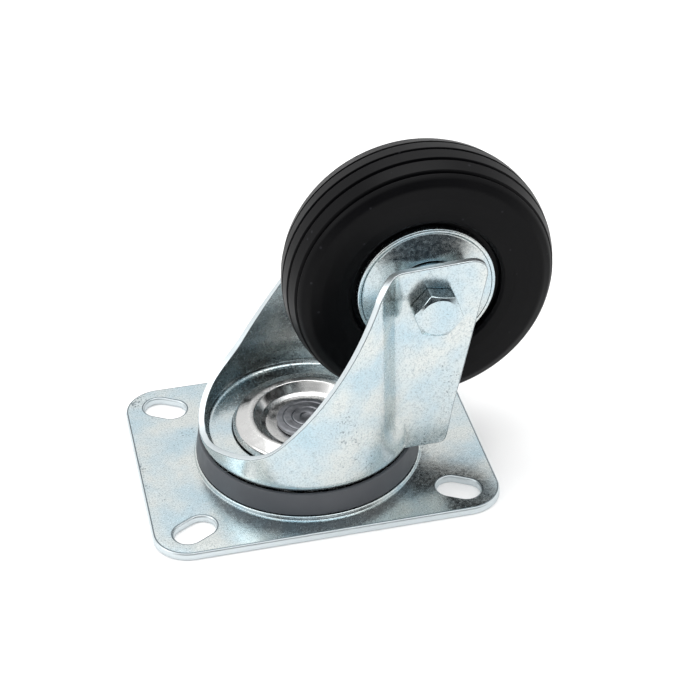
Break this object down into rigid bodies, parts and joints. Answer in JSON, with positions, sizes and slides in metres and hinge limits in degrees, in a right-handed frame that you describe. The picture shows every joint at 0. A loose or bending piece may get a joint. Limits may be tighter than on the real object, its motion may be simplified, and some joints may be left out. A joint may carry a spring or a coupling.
{
  "type": "swivel plate caster",
  "caption": "Swivel caster: slotted mounting plate, ball-bearing swivel, pressed steel fork and a ribbed solid rubber wheel on a bolt axle.",
  "frame": {"origin": "where the swivel axis meets the mounting face, on the flush underside of the kingpin head", "axes": "+Z along the swivel axis from the mounting face towards the wheel, so the caster stands upside down on its plate; +X along the plate's long side, from the swivel axis towards the wheel; the axle lies along Y with the bolt head on the -Y side"},
  "size_m": [0.1276, 0.081, 0.1028],
  "materials": {
    "zinc_plated_steel": "bright zinc plated",
    "polished_race_steel": "polished",
    "riveted_kingpin_steel": "dark, hammered over",
    "black_rubber": "semi-matte",
    "grey_seal_plastic": "moulded",
    "cage_plastic": "moulded",
    "lock_ring_nylon": "moulded"
  },
  "bodies": {
    "mounting": {"mounting_plate": "zinc_plated_steel", "kingpin": "riveted_kingpin_steel", "kingpin_spacer": "zinc_plated_steel", "dust_seal": "grey_seal_plastic", "lower_race_cup": "polished_race_steel"},
    "swivel_fork": {"fork": "zinc_plated_steel", "axle_bolt": "zinc_plated_steel", "axle_nut": "zinc_plated_steel", "nut_lock_ring": "lock_ring_nylon", "axle_sleeve": "polished_race_steel"},
    "wheel": {"tyre": "black_rubber", "hub_tube": "zinc_plated_steel", "rim_disc_nut_side": "zinc_plated_steel", "rim_disc_head_side": "zinc_plated_steel"},
    "roller_row": {"roller_cage": "cage_plastic", "roller_1": "polished_race_steel", "roller_2": "polished_race_steel", "roller_3": "polished_race_steel", "roller_4": "polished_race_steel", "roller_5": "polished_race_steel", "roller_6": "polished_race_steel", "roller_7": "polished_race_steel", "roller_8": "polished_race_steel"},
    "upper_ball_row": {"upper_ball_1": "polished_race_steel", "upper_ball_2": "polished_race_steel", "upper_ball_3": "polished_race_steel", "upper_ball_4": "polished_race_steel", "upper_ball_5": "polished_race_steel", "upper_ball_6": "polished_race_steel", "upper_ball_7": "polished_race_steel", "upper_ball_8": "polished_race_steel", "upper_ball_9": "polished_race_steel", "upper_ball_10": "polished_race_steel", "upper_ball_11": "polished_race_steel", "upper_ball_12": "polished_race_steel", "upper_ball_13": "polished_race_steel", "upper_ball_14": "polished_race_steel", "upper_ball_15": "polished_race_steel", "upper_ball_16": "polished_race_steel", "upper_ball_17": "polished_race_steel", "upper_ball_18": "polished_race_steel", "upper_ball_19": "polished_race_steel", "upper_ball_20": "polished_race_steel", "upper_ball_21": "polished_race_steel", "upper_ball_22": "polished_race_steel"},
    "lower_ball_row": {"lower_ball_1": "polished_race_steel", "lower_ball_2": "polished_race_steel", "lower_ball_3": "polished_race_steel", "lower_ball_4": "polished_race_steel", "lower_ball_5": "polished_race_steel", "lower_ball_6": "polished_race_steel", "lower_ball_7": "polished_race_steel", "lower_ball_8": "polished_race_steel", "lower_ball_9": "polished_race_steel", "lower_ball_10": "polished_race_steel", "lower_ball_11": "polished_race_steel", "lower_ball_12": "polished_race_steel", "lower_ball_13": "polished_race_steel", "lower_ball_14": "polished_race_steel"}
  },
  "joints": [
    {"name": "swivel", "type": "hinge", "parent": "mounting", "child": "swivel_fork", "pos_m": [0, 0, 0], "axis": [0, 0, 1], "continuous": true},
    {"name": "wheel_spin", "type": "hinge", "parent": "swivel_fork", "child": "wheel", "pos_m": [0.0347, 0, 0.0624], "axis": [0, 1, 0], "continuous": true},
    {"name": "roller_row_roll", "type": "hinge", "parent": "swivel_fork", "child": "roller_row", "pos_m": [0.0347, 0, 0.0624], "axis": [0, 1, 0], "continuous": true},
    {"name": "upper_ball_row_roll", "type": "hinge", "parent": "mounting", "child": "upper_ball_row", "pos_m": [0, 0, 0], "axis": [0, 0, 1], "continuous": true},
    {"name": "lower_ball_row_roll", "type": "hinge", "parent": "mounting", "child": "lower_ball_row", "pos_m": [0, 0, 0], "axis": [0, 0, 1], "continuous": true}
  ],
  "couplings": [
    {"joint": "roller_row_roll", "follows": "wheel_spin", "ratio": 0.62},
    {"joint": "upper_ball_row_roll", "follows": "swivel", "ratio": 0.5},
    {"joint": "lower_ball_row_roll", "follows": "swivel", "ratio": 0.5}
  ]
}
